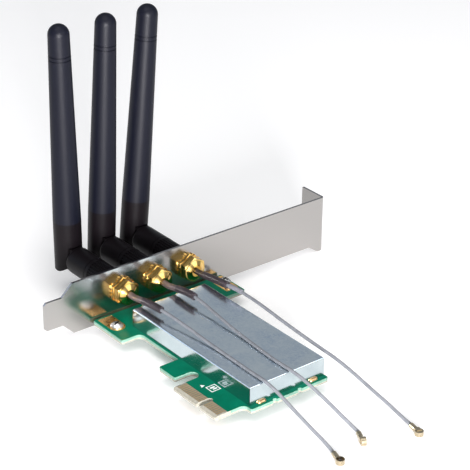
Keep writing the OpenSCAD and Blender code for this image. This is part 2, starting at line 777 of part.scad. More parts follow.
// Sleeve shrunk over the ferrule, which rises with the cable and ends bluntly around it. The first
// two begin with a slim stretch.
thick_from = 0.34;
function between(a, b, c, d, t) =
    a * pow(1 - t, 3) + 3 * b * pow(1 - t, 2) * t + 3 * c * (1 - t) * t * t + d * pow(t, 3);
module shrink_sleeve(i) {
    jack = [0, jack_ys[i], jack_z];
    over = jack + [stub_x + stub_len, 0, 0];
    rear = over - [stub_len, 0, 0];
    rise = unit([1, 0.04, 0.16]);
    toward = unit(cable_routes[i][1] - cable_routes[i][0]);
    far = cable_routes[i][0] - cord_gap * toward;
    reach = norm(far - over) / 3;
    steps = [0.12, 0.24, thick_from - 0.02, thick_from, 0.48, 0.6, 0.72, 0.86, 1];
    path = concat([rear, over],
        [for (t = steps) between(over, over + reach * rise, far - reach * toward, far, t)]);
    slim = ferrule_r + shrink_wall;
    thick = shrink_end_d / 2;
    thick_at = i == 2 ? 0 : thick_from;
    widths = concat([slim, slim], [for (t = steps) t < thick_at ? slim : thick]);
    color(shrink_grey) placed() difference() {
        swept(path, widths, sleeve_sides);
        translate(jack) rod_x(stub_x - cut, stub_x + stub_len, ferrule_r);
    }
}

// Plugs start at the cable's end; their shells are open on the side that mates
module at_plug(i) {
    route = cable_routes[i];
    placed() translate(route[len(route) - 1]) rotate([0, 0, plug_headings[i]]) {
        translate([cord_gap, 0, 0]) rotate([plug_rolls[i], 0, 0]) children();
    }
}
plug_mid = plug_crimp_len + plug_d / 2 - 0.3;
plug_low = -plug_crimp_d / 2;
module cable_plug(i) {
    shell_r = plug_d / 2;
    color(gold) at_plug(i) difference() {
        union() {
            rod_x(0, plug_crimp_len, plug_crimp_d / 2);
            translate([plug_mid, 0, plug_low]) cylinder(h = plug_h, r = shell_r);
            box([plug_crimp_len - cut, -plug_crimp_d / 2, 0], [plug_mid, plug_crimp_d / 2, plug_crimp_d / 2]);
        }
        translate([plug_mid, 0, plug_low - cut]) {
            cylinder(h = plug_h - plug_wall + cut, r = shell_r - plug_wall);
        }
    }
}
module plug_insulator(i) {
    color(dark) at_plug(i) translate([plug_mid, 0, plug_low + plug_wall]) {
        cylinder(h = plug_h - 2 * plug_wall, r = plug_core_d / 2);
    }
}

// Brass nut that screws onto the barrel, and whose lip draws in the plug core's flange
module coupling_nut(i) {
    color(brass) at_jack(i) difference() {
        rod_x(coupling_end, coupling_front, coupling_r);
        rod_x(core_end, coupling_front + cut, thread_r);
        rod_x(coupling_end - cut, coupling_front, coupling_lip_bore / 2);
    }
}
module plug_core(i) {
    color(brass) at_jack(i) difference() {
        union() {
            rod_x(core_end, barrel_end, thread_r - run_fit);
            rod_x(core_end, barrel_end + core_barrel_len, barrel_bore / 2 - run_fit);
        }
        rod_x(core_end - cut, barrel_end + core_barrel_len + cut, core_bore / 2);
    }
}

// Outline of the knurled sleeve: flat-topped ribs around a circle
rib_step_down = 0.06;
collar_len = 1.6;
module ribbed_circle() {
    step = 360 / sleeve_ribs;
    high_r = sleeve_r - rib_step_down;
    low_r = sleeve_r - rib_depth;
    polygon([for (k = [0:sleeve_ribs - 1]) each [
        for (q = [[0.05, low_r], [0.20, high_r], [0.70, high_r], [0.85, low_r]])
            q[1] * [cos((k + q[0]) * step), sin((k + q[0]) * step)]
    ]]);
}
module knurled_sleeve(i) {
    color(black) at_jack(i) difference() {
        union() {
            in_yz(sleeve_back + collar_len / 2, sleeve_front) ribbed_circle();
            rod_x(sleeve_back, sleeve_back + collar_len, sleeve_r);
        }
        rod_x(coupling_end, sleeve_front + cut, coupling_r);
        rod_x(sleeve_back - cut, coupling_end + cut, spigot_r + run_fit);
    }
}

// The whole antenna stands at its fold axis, leant as it was left
module at_fold(i) at_jack(i) rotate([-leans[i], 0, 0]) translate([fold_x, 0, 0]) children();

// Round knuckle: spigot in the sleeve, rounded end, and a tongue with a pivot on each side
module antenna_knuckle(i) {
    start = knuckle_start - fold_x;
    finish = knuckle_end - fold_x;
    spigot_end = coupling_end - face_gap - fold_x;
    color(black) at_fold(i) {
        rod_x(start - cut, spigot_end, spigot_r);
        rotate([0, 90, 0]) rotate_extrude() {
            rect([0, finish], [knuckle_r - knuckle_round, start]);
            rect([0, finish + knuckle_round], [knuckle_r, start]);
            translate([knuckle_r - knuckle_round, finish + knuckle_round]) circle(r = knuckle_round);
        }
        in_xz(-fork_tongue_w / 2, fork_tongue_w / 2) {
            circle(r = fork_tongue_r);
            rect([0, -fork_tongue_r], [finish + cut, fork_tongue_r]);
        }
        translate([0, -fork_tongue_w / 2 - pivot_len, 0]) rotate([-90, 0, 0]) {
            cylinder(h = fork_tongue_w + 2 * pivot_len, r = pivot_r);
        }
    }
}

// Side view of the elbow: round towards the knuckle, square on the far side
module elbow_side() {
    difference() {
        rect([-whip_r, -elbow_drop], [whip_r, seam_h]);
        difference() {
            rect([0, -elbow_drop - cut], [whip_r + cut, 0]);
            circle(r = elbow_drop);
        }
    }
}

// Lower end of the antenna: a fork over the knuckle's tongue, and the neck for the cover
module antenna_elbow(i) {
    socket = fork_tongue_w / 2 + pivot_len + face_gap;
    color(black) at_fold(i) difference() {
        union() {
            intersection() {
                translate([0, 0, -elbow_drop]) cylinder(h = elbow_drop + seam_h, r = whip_r);
                in_xz(-whip_r, whip_r) elbow_side();
            }
            translate([0, 0, seam_h - cut]) cylinder(h = neck_len + cut, r = neck_r);
        }
        // the slot for the tongue
        in_xz(-fork_half, fork_half) {
            circle(r = fork_r);
            rect([-whip_d, -elbow_drop - cut], [whip_d, 0]);
            rect([0, -elbow_drop - cut], [whip_d, fork_r]);
        }
        // blind sockets for the pivots
        translate([0, -socket, 0]) rotate([-90, 0, 0]) {
            cylinder(h = 2 * socket, r = pivot_r + run_fit);
        }
    }
}

// Tapered cover with a round tip and two ring grooves near it
module antenna_cover(i) {
    round_z = whip_h - tip_r;
    top_groove = whip_h - groove_from_tip;
    slope = (whip_r - tip_r) / (round_z - seam_h);
    color(black) at_fold(i) difference() {
        rotate_extrude() difference() {
            union() {
                polygon([[0, seam_h], [whip_r, seam_h], [tip_r, round_z], [0, round_z]]);
                intersection() {
                    translate([0, round_z]) circle(r = tip_r);
                    rect([0, round_z - cut], [tip_r, whip_h]);
                }
            }
            for (z = [top_groove, top_groove - groove_pitch]) {
                edge_r = whip_r - (z - seam_h) * slope;
                rect([edge_r - groove_depth, z - groove_w / 2], [whip_r, z + groove_w / 2]);
            }
        }
        translate([0, 0, seam_h - cut]) {
            cylinder(h = neck_len + cut + fixed_fit, r = neck_r + fixed_fit);
        }
    }
}

mounting_bracket();
circuit_board();
edge_contacts();
ground_pads();
shield_can();
solder_joints();
board_screw(0);  // board_screw_1
board_screw(1);  // board_screw_2
connector_body(0);  // connector_body_1
connector_body(1);  // connector_body_2
connector_body(2);  // connector_body_3
connector_insulator(0);  // connector_insulator_1
connector_insulator(1);  // connector_insulator_2
connector_insulator(2);  // connector_insulator_3
star_washer(0);  // star_washer_1
star_washer(1);  // star_washer_2
star_washer(2);  // star_washer_3
panel_nut(0);  // panel_nut_1
panel_nut(1);  // panel_nut_2
panel_nut(2);  // panel_nut_3
crimp_ferrule(0);  // crimp_ferrule_1
crimp_ferrule(1);  // crimp_ferrule_2
crimp_ferrule(2);  // crimp_ferrule_3
shrink_sleeve(0);  // shrink_sleeve_1
shrink_sleeve(1);  // shrink_sleeve_2
shrink_sleeve(2);  // shrink_sleeve_3
coax_cable(0);  // coax_cable_1
coax_cable(1);  // coax_cable_2
coax_cable(2);  // coax_cable_3
cable_plug(0);  // cable_plug_1
cable_plug(1);  // cable_plug_2
cable_plug(2);  // cable_plug_3
plug_insulator(0);  // plug_insulator_1
plug_insulator(1);  // plug_insulator_2
plug_insulator(2);  // plug_insulator_3
coupling_nut(0);  // coupling_nut_1
coupling_nut(1);  // coupling_nut_2
coupling_nut(2);  // coupling_nut_3
plug_core(0);  // plug_core_1
plug_core(1);  // plug_core_2
plug_core(2);  // plug_core_3
knurled_sleeve(0);  // knurled_sleeve_1
knurled_sleeve(1);  // knurled_sleeve_2
knurled_sleeve(2);  // knurled_sleeve_3
antenna_knuckle(0);  // antenna_knuckle_1
antenna_knuckle(1);  // antenna_knuckle_2
antenna_knuckle(2);  // antenna_knuckle_3
antenna_elbow(0);  // antenna_elbow_1
antenna_elbow(1);  // antenna_elbow_2
antenna_elbow(2);  // antenna_elbow_3
antenna_cover(0);  // antenna_cover_1
antenna_cover(1);  // antenna_cover_2
antenna_cover(2);  // antenna_cover_3
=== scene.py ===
# %% [markdown]
# # An expansion card with three folding antennas
# The solid model of the card arrives finished from the CAD step: bracket, circuit board, shield can,
# connectors and antennas. This lesson adds what CAD leaves out: the camera, the soft cables, the small
# marks on the board, and a finish for each surface. Everything is in metres, in the CAD model's frame:
# +X runs from the bracket to the card's far end, +Y runs up the bracket to its screw tab, and +Z stands
# up from the board.

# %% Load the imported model
import math

import bmesh
import bpy
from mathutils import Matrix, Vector


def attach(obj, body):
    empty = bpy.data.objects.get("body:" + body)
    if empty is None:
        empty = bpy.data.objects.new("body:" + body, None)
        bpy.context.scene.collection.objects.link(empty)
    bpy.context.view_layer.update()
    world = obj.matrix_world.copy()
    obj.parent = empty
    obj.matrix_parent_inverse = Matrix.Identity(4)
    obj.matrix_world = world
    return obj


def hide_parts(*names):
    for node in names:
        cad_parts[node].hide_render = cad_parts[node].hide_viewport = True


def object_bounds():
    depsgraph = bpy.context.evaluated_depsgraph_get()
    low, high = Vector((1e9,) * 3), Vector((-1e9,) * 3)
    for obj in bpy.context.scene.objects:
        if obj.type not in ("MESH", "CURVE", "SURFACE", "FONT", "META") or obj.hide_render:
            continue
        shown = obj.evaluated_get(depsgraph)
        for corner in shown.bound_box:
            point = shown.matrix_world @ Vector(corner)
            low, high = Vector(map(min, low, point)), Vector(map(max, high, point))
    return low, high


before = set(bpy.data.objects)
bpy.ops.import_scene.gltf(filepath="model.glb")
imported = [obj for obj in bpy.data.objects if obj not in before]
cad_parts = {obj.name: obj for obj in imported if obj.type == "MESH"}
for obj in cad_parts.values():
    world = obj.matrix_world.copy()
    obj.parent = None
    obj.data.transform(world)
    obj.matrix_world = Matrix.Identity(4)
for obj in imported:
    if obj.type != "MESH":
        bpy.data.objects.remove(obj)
cad_low, cad_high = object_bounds()
scene = bpy.context.scene
print("CAD box", [round(v, 4) for v in cad_low], [round(v, 4) for v in cad_high])

# %% [markdown]
# The bracket and the board were measured from the bracket's inner face, the tongue's end and the plate's
# lower edge. One small helper turns such a measure in millimetres into the model's frame in metres, so
# that each number below can be compared with a ruler on the real card.

# %% A ruler on the card
NOTCH_FROM_PLATE = 6.35
BRACKET_LENGTH = 120.02
BOARD_TOP = 2.46
BOARD_THICKNESS = 1.6
BOARD_FAR_CORNER = (74.85, 25.8)


def on_card(x, y, z=BOARD_TOP):
    return Vector(((x + NOTCH_FROM_PLATE) / 1000, (y - BRACKET_LENGTH) / 1000, z / 1000))


print("board's far corner", on_card(*BOARD_FAR_CORNER))

# %% [markdown]
# ## The camera
# The photograph was taken with a long lens from in front of the board's far end, looking down by about
# 27 degrees. The place, turn and lens come from fitting a camera to the known bracket and edge
# connector, whose sizes are standard. A long lens keeps the bracket's edges nearly parallel.

# %% Camera
CAMERA_PLACE = (0.40600, -0.36285, 0.27312)
CAMERA_TURN = (63.338, -0.703, 51.543)
CAMERA_LENS = 126.08

bpy.ops.object.select_all(action="DESELECT")
bpy.ops.object.camera_add(
    location=CAMERA_PLACE,
    rotation=tuple(math.radians(angle) for angle in CAMERA_TURN),
)
camera = bpy.context.object
camera.name = "photo_camera"
camera.data.sensor_width = 36
camera.data.lens = CAMERA_LENS
camera.data.clip_start = 0.01
camera.data.clip_end = 50
scene.camera = camera
print("camera", camera.location, "lens", camera.data.lens)

# %% [markdown]
# ## The cables
# Three thin coaxial cables leave the heat-shrink sleeves, cross the can or pass beside it, and come down
# to the surface that the card stands on. Such a cable is springy, so it keeps long, even curves. The
# third one has a second, slimmer sleeve just past the heat-shrink.

# %% Cable routes, in millimetres on the card
CABLE_DIAMETER = 1.13
CABLE_ROUTES = {
    1: [
        (21.9, 30.8, 11.6), (26.2, 31.2, 11.4), (30.7, 31.5, 11.0), (36.7, 31.8, 10.6),
        (42.7, 31.9, 10.1), (48.7, 32.0, 9.8), (54.7, 32.0, 9.7), (60.7, 31.9, 9.7),
        (66.7, 31.8, 9.7), (73.2, 31.8, 9.7), (77.7, 32.2, 8.6), (82.2, 32.7, 6.8),
        (86.2, 33.2, 4.9), (90.2, 33.8, 3.0), (93.7, 34.4, 1.2), (96.7, 34.9, -0.2),
        (99.7, 35.1, -1.4), (101.544, 34.992, -2.0), (102.022, 34.846, -2.0), (102.5, 34.7, -2.0),
    ],
    2: [
        (21.7, 44.6, 11.8), (26.2, 44.6, 11.5), (30.7, 44.4, 11.0), (36.7, 43.9, 10.6),
        (42.7, 43.5, 10.1), (48.7, 43.2, 9.8), (54.7, 42.8, 9.7), (60.7, 42.4, 9.7),
        (66.7, 42.1, 9.7), (73.2, 42.2, 9.7), (77.7, 42.7, 8.9), (82.2, 43.6, 7.2),
        (86.2, 44.5, 5.3), (89.7, 45.4, 3.4), (92.7, 46.2, 1.6), (95.2, 46.9, 0.2),
        (97.5, 47.3, -0.9), (98.701, 47.638, -1.5), (99.151, 47.419, -1.5), (99.6, 47.2, -1.5),
    ],
    3: [
        (21.7, 58.2, 11.8), (26.2, 58.7, 12.0), (30.7, 58.9, 11.8), (36.7, 58.9, 11.6),
        (42.7, 58.8, 11.2), (48.7, 58.9, 10.5), (54.7, 59.1, 9.8), (60.7, 59.6, 8.9),
        (66.7, 60.3, 7.9), (72.7, 61.0, 6.9), (78.7, 61.5, 5.6), (84.7, 62.0, 3.9),
        (90.2, 62.5, 2.2), (95.2, 63.0, 0.7), (99.2, 63.3, -0.6), (102.7, 63.5, -1.6),
        (104.522, 63.608, -2.0), (105.011, 63.504, -2.0), (105.5, 63.4, -2.0),
    ],
}
SLIM_SLEEVE_DIAMETER = 1.7
SLIM_SLEEVE_ROUTE = [
    (22.8, 58.33, 11.86), (24.5, 58.53, 11.96), (26.2, 58.7, 12.0), (28.6, 58.83, 11.93),
]
print({number: len(route) for number, route in CABLE_ROUTES.items()}, "points")

# %% [markdown]
# Each cable is a round Bezier curve through its points. A knot's handles run parallel to the line from
# the point before it to the point after it, and are a sixth of that line long. The solid model's cables
# were swept along the same smooth line.

# %% Cables
def cable_along(name, route, diameter):
    points = [on_card(*point) for point in route]
    data = bpy.data.curves.new(name, "CURVE")
    data.dimensions = "3D"
    data.resolution_u = 8
    data.bevel_depth = 1
    data.bevel_resolution = 4
    data.use_fill_caps = True
    spline = data.splines.new("BEZIER")
    spline.bezier_points.add(len(points) - 1)
    for i, knot in enumerate(spline.bezier_points):
        before = points[max(i - 1, 0)]
        after = points[min(i + 1, len(points) - 1)]
        knot.handle_left_type = knot.handle_right_type = "FREE"
        knot.co = points[i]
        # The bevel is 1 deep, so the knot's radius is the cable's own, in metres
        knot.radius = diameter / 2000
        knot.handle_left = points[i] - (after - before) / 6
        knot.handle_right = points[i] + (after - before) / 6
    cable = bpy.data.objects.new(name, data)
    scene.collection.objects.link(cable)
    return cable


def route_length(route):
    points = [on_card(*point) for point in route]
    return sum((b - a).length for a, b in zip(points, points[1:]))


slim_sleeve = cable_along("slim_sleeve", SLIM_SLEEVE_ROUTE, SLIM_SLEEVE_DIAMETER)
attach(slim_sleeve, "card")

for number, route in CABLE_ROUTES.items():
    cable = cable_along(f"lead_{number}", route, CABLE_DIAMETER)
    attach(cable, "card")
    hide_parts(f"coax_cable_{number}")
    print(cable.name, "length", round(route_length(route) * 1000, 1), "mm")

# %% [markdown]
# ## Small marks on the board
# The board carries a few white printed marks: a small arrowhead and a framed rectangle by the edge
# connector. They are ink, a few hundredths of a millimetre thick, so each is modelled as a very thin
# plate. They stay plain shapes, without letters.

# %% Thin plates on the board
def flat_piece(name, corners, thickness):
    bpy.ops.object.select_all(action="DESELECT")
    bpy.ops.mesh.primitive_plane_add(size=1)
    piece = bpy.context.object
    piece.name = name
    mesh = bmesh.new()
    mesh.faces.new([mesh.verts.new(on_card(x, y)) for x, y in corners])
    mesh.normal_update()
    mesh.to_mesh(piece.data)
    mesh.free()
    bpy.ops.object.mode_set(mode="EDIT")
    bpy.ops.mesh.select_all(action="SELECT")
    bpy.ops.mesh.normals_make_consistent(inside=False)
    bpy.ops.mesh.extrude_region_move(TRANSFORM_OT_translate={"value": (0, 0, thickness / 1000)})
    bpy.ops.mesh.select_all(action="SELECT")
    bpy.ops.mesh.normals_make_consistent(inside=False)
    bpy.ops.object.mode_set(mode="OBJECT")
    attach(piece, "card")
    return piece


def flat_bar(name, x0, y0, x1, y1, thickness):
    return flat_piece(name, [(x0, y0), (x1, y0), (x1, y1), (x0, y1)], thickness)


def join_pieces(name, pieces):
    bpy.ops.object.select_all(action="DESELECT")
    for piece in pieces:
        piece.select_set(True)
    bpy.context.view_layer.objects.active = pieces[0]
    bpy.ops.object.join()
    joined = bpy.context.object
    joined.name = name
    return joined


# %% Printed marks
INK = 0.02
ARROWHEAD = [(54.2, 21.9), (55.8, 21.4), (55.3, 22.9)]
FRAME_BARS = [
    (56.4, 22.3, 59.8, 22.6),
    (56.4, 25.6, 59.8, 25.9),
    (56.4, 22.6, 56.7, 25.6),
    (59.5, 22.6, 59.8, 25.6),
    (57.3, 23.2, 58.0, 25.0),
    (58.3, 23.6, 58.9, 25.2),
]

arrow = flat_piece("arrow", ARROWHEAD, INK)
frame_bars = [flat_bar("bar", *bar, INK) for bar in FRAME_BARS]
board_ink = join_pieces("board_ink", [arrow] + frame_bars)
print("ink marks", len(board_ink.data.polygons), "faces")

# %% [markdown]
# The gold ground area goes on past the upper screw towards the lug's end, and a second, narrow strip of
# it lies between the can and the third sleeve, with a solder bead at its end. The strips are plates
# thinner than the copper of the solid model. The bead is half a ball, flattened and drawn out along the
# strip.

# %% Ground strips and a solder bead
STRIP = 0.03
LUG_STRIP = (6.2, 69.3, 11.4, 71.2)
NARROW_STRIP = (2.2, 66.0, 11.6, 67.5)
BEAD_MIDDLE = on_card(10.5, 67.2)
BEAD_HALF_SIZES = (0.0013, 0.00075, 0.0005)

ground_strips = join_pieces("ground_strips", [
    flat_bar("strip", *LUG_STRIP, STRIP),
    flat_bar("strip", *NARROW_STRIP, STRIP),
])

bpy.ops.object.select_all(action="DESELECT")
bpy.ops.mesh.primitive_uv_sphere_add(
    segments=24, ring_count=12, radius=1, location=BEAD_MIDDLE, scale=BEAD_HALF_SIZES
)
bead = bpy.context.object
bead.name = "ground_bead"
bpy.ops.object.transform_apply(location=True, rotation=True, scale=True)
bpy.ops.object.mode_set(mode="EDIT")
bpy.ops.mesh.select_all(action="SELECT")
bpy.ops.mesh.bisect(plane_co=BEAD_MIDDLE, plane_no=(0, 0, 1), use_fill=True, clear_inner=True)
bpy.ops.object.mode_set(mode="OBJECT")
bpy.ops.object.shade_smooth_by_angle(angle=math.radians(50))
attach(bead, "card")
print("ground strips", len(ground_strips.data.polygons), "faces, bead", len(bead.data.polygons), "faces")

# %% [markdown]
# ## Finishes
# Each finish is one Principled shader, varied a little by a noise in Object coordinates. Two noises come
# back on several surfaces, so each is a shader node group with its own inputs: fine brushed lines, and
# the cloudy smears and finer scratches that fingers leave on bare metal.

# %% Two noises as node groups
SCRATCHES_PER_CLOUD = 4.0


def add_node(tree, kind, **values):
    node = tree.nodes.new(kind)
    for key, value in values.items():
        if key in node.inputs:
            node.inputs[key].default_value = value
        else:
            setattr(node, key, value)
    return node


def new_group(name, outputs):
    group = bpy.data.node_groups.new(name, "ShaderNodeTree")
    group.interface.new_socket("Vector", in_out="INPUT", socket_type="NodeSocketVector")
    group.interface.new_socket("Scale", in_out="INPUT", socket_type="NodeSocketFloat")
    for label in outputs:
        group.interface.new_socket(label, in_out="OUTPUT", socket_type="NodeSocketFloat")
    return group, group.nodes.new("NodeGroupInput"), group.nodes.new("NodeGroupOutput")


brushed, b_in, b_out = new_group("brushed lines", ["Lines"])
lines = add_node(brushed, "ShaderNodeTexNoise", Detail=4.0, Roughness=0.6)
brushed.links.new(b_in.outputs["Vector"], lines.inputs["Vector"])
brushed.links.new(b_in.outputs["Scale"], lines.inputs["Scale"])
brushed.links.new(lines.outputs["Fac"], b_out.inputs["Lines"])

smears, s_in, s_out = new_group("smears", ["Cloud", "Scratch"])
cloud = add_node(smears, "ShaderNodeTexNoise", Detail=5.0, Roughness=0.55, Distortion=0.6)
scratch = add_node(smears, "ShaderNodeTexNoise", Detail=2.0, Distortion=3.0)
finer = add_node(smears, "ShaderNodeMath", operation="MULTIPLY")
finer.inputs[1].default_value = SCRATCHES_PER_CLOUD
smears.links.new(s_in.outputs["Vector"], cloud.inputs["Vector"])
smears.links.new(s_in.outputs["Vector"], scratch.inputs["Vector"])
smears.links.new(s_in.outputs["Scale"], cloud.inputs["Scale"])
smears.links.new(s_in.outputs["Scale"], finer.inputs[0])
smears.links.new(finer.outputs[0], scratch.inputs["Scale"])
smears.links.new(cloud.outputs["Fac"], s_out.inputs["Cloud"])
smears.links.new(scratch.outputs["Fac"], s_out.inputs["Scratch"])
print("node groups", [group.name for group in (brushed, smears)])

# %% [markdown]
# A finish keeps its constants on the shader's own sockets. Its noise then drives the roughness, mixes
# two colours or raises small bumps. A stretch below 1 along an axis draws the noise out along that axis.

# %% Helpers for finishes
NOISE_LOW, NOISE_HIGH = 0.3, 0.7
LINES_ALONG_X = (0.15, 1, 1)
LINES_ALONG_Y = (1, 0.04, 1)
RINGS_AROUND_X = (1, 0.05, 0.05)


def place_on(finish):
    return add_node(finish.node_tree, "ShaderNodeTexCoord").outputs["Object"]


def new_finish(name, group=None, scale=1.0, stretch=(1, 1, 1), **constants):
    finish = bpy.data.materials.new(name)
    finish.use_nodes = True
    tree = finish.node_tree
    shader = tree.nodes["Principled BSDF"]
    for label, value in constants.items():
        shader.inputs[label.replace("_", " ")].default_value = value
    if group:
        mapping = add_node(tree, "ShaderNodeMapping", Scale=stretch)
        noise = add_node(tree, "ShaderNodeGroup", name="noise", node_tree=group)
        noise.inputs["Scale"].default_value = scale
        tree.links.new(place_on(finish), mapping.inputs["Vector"])
        tree.links.new(mapping.outputs["Vector"], noise.inputs["Vector"])
    return finish


def feed(finish, source, label):
    tree = finish.node_tree
    tree.links.new(source, tree.nodes["Principled BSDF"].inputs[label])


def spread(finish, output, low, high):
    tree = finish.node_tree
    node = add_node(tree, "ShaderNodeMapRange", **{
        "From Min": NOISE_LOW, "From Max": NOISE_HIGH, "To Min": low, "To Max": high,
    })
    tree.links.new(tree.nodes["noise"].outputs[output], node.inputs["Value"])
    return node.outputs["Result"]


def mix(finish, mask, first, second):
    node = add_node(finish.node_tree, "ShaderNodeMix", data_type="RGBA")
    finish.node_tree.links.new(mask, node.inputs["Factor"])
    for label, color in (("A", first), ("B", second)):
        if isinstance(color, tuple):
            node.inputs[label].default_value = (*color, 1)
        else:
            finish.node_tree.links.new(color, node.inputs[label])
    return node.outputs["Result"]


def blend(finish, output, first, second):
    return mix(finish, spread(finish, output, 0.0, 1.0), first, second)


def vary_roughness(finish, output, low, high):
    feed(finish, spread(finish, output, low, high), "Roughness")


def vary_color(finish, output, first, second):
    feed(finish, blend(finish, output, first, second), "Base Color")


def raise_bumps(finish, output, strength, distance):
    tree = finish.node_tree
    node = add_node(tree, "ShaderNodeBump", Strength=strength, Distance=distance)
    tree.links.new(tree.nodes["noise"].outputs[output], node.inputs["Height"])
    feed(finish, node.outputs["Normal"], "Normal")


def give(finish, *names):
    for name in names:
        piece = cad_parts.get(name) or bpy.data.objects[name]
        if not piece.material_slots:
            piece.data.materials.append(finish)
        for slot in piece.material_slots:
            slot.material = finish
    print(finish.name, "on", ", ".join(names))


def three(name):
    return [f"{name}_{number}" for number in (1, 2, 3)]


# %% [markdown]
# Some pieces look different from place to place. A mask answers that with 0 or 1 from a point's own
# position: it compares one coordinate with a limit, and masks are joined by multiplying them or by
# taking the larger one.

# %% Masks by position
def coordinates(finish):
    split = add_node(finish.node_tree, "ShaderNodeSeparateXYZ")
    finish.node_tree.links.new(place_on(finish), split.inputs["Vector"])
    return split.outputs


def calculate(finish, operation, *values):
    node = add_node(finish.node_tree, "ShaderNodeMath", operation=operation)
    for socket, value in zip(node.inputs, values):
        if isinstance(value, float):
            socket.default_value = value
        else:
            finish.node_tree.links.new(value, socket)
    return node.outputs[0]


def less(finish, source, limit):
    return calculate(finish, "LESS_THAN", source, limit)


def more(finish, source, limit):
    return calculate(finish, "GREATER_THAN", source, limit)


def both(finish, first, second):
    return calculate(finish, "MULTIPLY", first, second)


def either(finish, first, second):
    return calculate(finish, "MAXIMUM", first, second)


# %% [markdown]
# ### Bracket and screws
# The bracket is nickel-plated sheet steel, rolled along its length. It mirrors its surroundings softly,
# so very fine lines along Y change the roughness a little. The board screws are brighter, and their
# cross recess is painted dark as painted shade: that is every point near the head's middle and under the
# dome's top.

# %% Bracket and screws
SCREW_MIDDLES = (on_card(8.6, 22.3, 3.4), on_card(5.8, 69.6, 3.4))
RECESS_RADIUS = 0.00142
RECESS_TOP = 0.00362

bracket_finish = new_finish(
    "bracket nickel", brushed, 900.0, LINES_ALONG_Y, Metallic=1.0, Base_Color=(0.43, 0.415, 0.402, 1)
)
vary_roughness(bracket_finish, "Lines", 0.15, 0.21)
raise_bumps(bracket_finish, "Lines", 0.02, 0.00002)
give(bracket_finish, "mounting_bracket")

screw_finish = new_finish("screw nickel", smears, 600.0, Metallic=1.0)
vary_roughness(screw_finish, "Cloud", 0.24, 0.38)
near_middle = []
for screw_middle in SCREW_MIDDLES:
    away = add_node(screw_finish.node_tree, "ShaderNodeVectorMath", operation="DISTANCE")
    away.inputs[1].default_value = screw_middle
    screw_finish.node_tree.links.new(place_on(screw_finish), away.inputs[0])
    near_middle.append(less(screw_finish, away.outputs["Value"], RECESS_RADIUS))
low_enough = less(screw_finish, coordinates(screw_finish)["Z"], RECESS_TOP)
# Painted shade: the hollow of each cross recess is coloured near black
recess_painted_shade = both(screw_finish, either(screw_finish, *near_middle), low_enough)
feed(screw_finish, mix(screw_finish, recess_painted_shade, (0.92, 0.91, 0.88), (0.07, 0.07, 0.08)), "Base Color")
give(screw_finish, "board_screw_1", "board_screw_2")

# %% [markdown]
# ### Circuit board
# A board is woven glass under a green lacquer. The lacquer covers the two faces only, so the sawn edges
# are pale, and the strip that slides into the socket is bare. The height of a point tells edge from face.
# The edge's upper half has a mint tint from the lacquer beside it, but not by the contacts. Against the
# bracket the edge is in shade, and a plain olive green.

# %% Circuit board
LACQUER_SKIN = 0.02
EDGE_MIDDLE_Z = 0.0015
BARE_CORNER = on_card(50.0, 19.3)
MINT_CORNER = on_card(48, 20.5)
SHADED_REACH = on_card(0.85, 0)

board_finish = new_finish("board lacquer", smears, 140.0, Roughness=0.3, Specular_IOR_Level=0.03)
along = coordinates(board_finish)
sawn = both(
    board_finish,
    less(board_finish, along["Z"], (BOARD_TOP - LACQUER_SKIN) / 1000),
    more(board_finish, along["Z"], (BOARD_TOP - BOARD_THICKNESS + LACQUER_SKIN) / 1000),
)
bare = both(
    board_finish,
    less(board_finish, along["Y"], BARE_CORNER.y),
    more(board_finish, along["X"], BARE_CORNER.x),
)
away_from_contacts = either(
    board_finish,
    more(board_finish, along["Y"], MINT_CORNER.y),
    less(board_finish, along["X"], MINT_CORNER.x),
)
mint_part = both(board_finish, more(board_finish, along["Z"], EDGE_MIDDLE_Z), away_from_contacts)
shaded = less(board_finish, along["X"], SHADED_REACH.x)

lacquer = blend(board_finish, "Cloud", (0.0, 0.118, 0.064), (0.0, 0.16, 0.088))
glass = blend(board_finish, "Scratch", (0.27, 0.257, 0.21), (0.37, 0.352, 0.295))
mint = blend(board_finish, "Scratch", (0.12, 0.245, 0.185), (0.20, 0.33, 0.265))
edge = mix(board_finish, shaded, mix(board_finish, mint_part, glass, mint), (0.34, 0.42, 0.26))
feed(board_finish, mix(board_finish, either(board_finish, sawn, bare), lacquer, edge), "Base Color")
give(board_finish, "circuit_board")

# %% [markdown]
# ### Gold and ink on the board
# The contacts are pale gold and a little dull. The ground pads are warmer and more uneven, and the ink
# is a matt white.

# %% Gold and ink on the board
gold_finish = new_finish("contact gold", smears, 500.0, Metallic=1.0, Base_Color=(0.72, 0.53, 0.30, 1))
vary_roughness(gold_finish, "Cloud", 0.3, 0.46)
give(gold_finish, "edge_contacts")

pad_finish = new_finish("pad gold", smears, 400.0, Metallic=1.0)
vary_roughness(pad_finish, "Cloud", 0.2, 0.4)
vary_color(pad_finish, "Scratch", (0.62, 0.34, 0.10), (0.86, 0.58, 0.24))
give(pad_finish, "ground_pads", "ground_strips")

ink_finish = new_finish("white ink", smears, 900.0, Base_Color=(0.80, 0.82, 0.80, 1))
vary_roughness(ink_finish, "Cloud", 0.5, 0.75)
give(ink_finish, "board_ink")

# %% [markdown]
# ### Shield can
# The can is tin-plated steel. Fingers and rollers leave cloudy marks on its lid, which show as changes of
# gloss and as darker stains, and the lid's bluish tint is a painted reflection of the dim, bluish room.
# The walls are painted darker than the lid and teal grey, a painted reflection. The solder along their
# feet is painted a warm tone, a painted reflection of the gold and the board around it.

# %% Shield can and solder
LID_UNDERSIDE = 0.0087

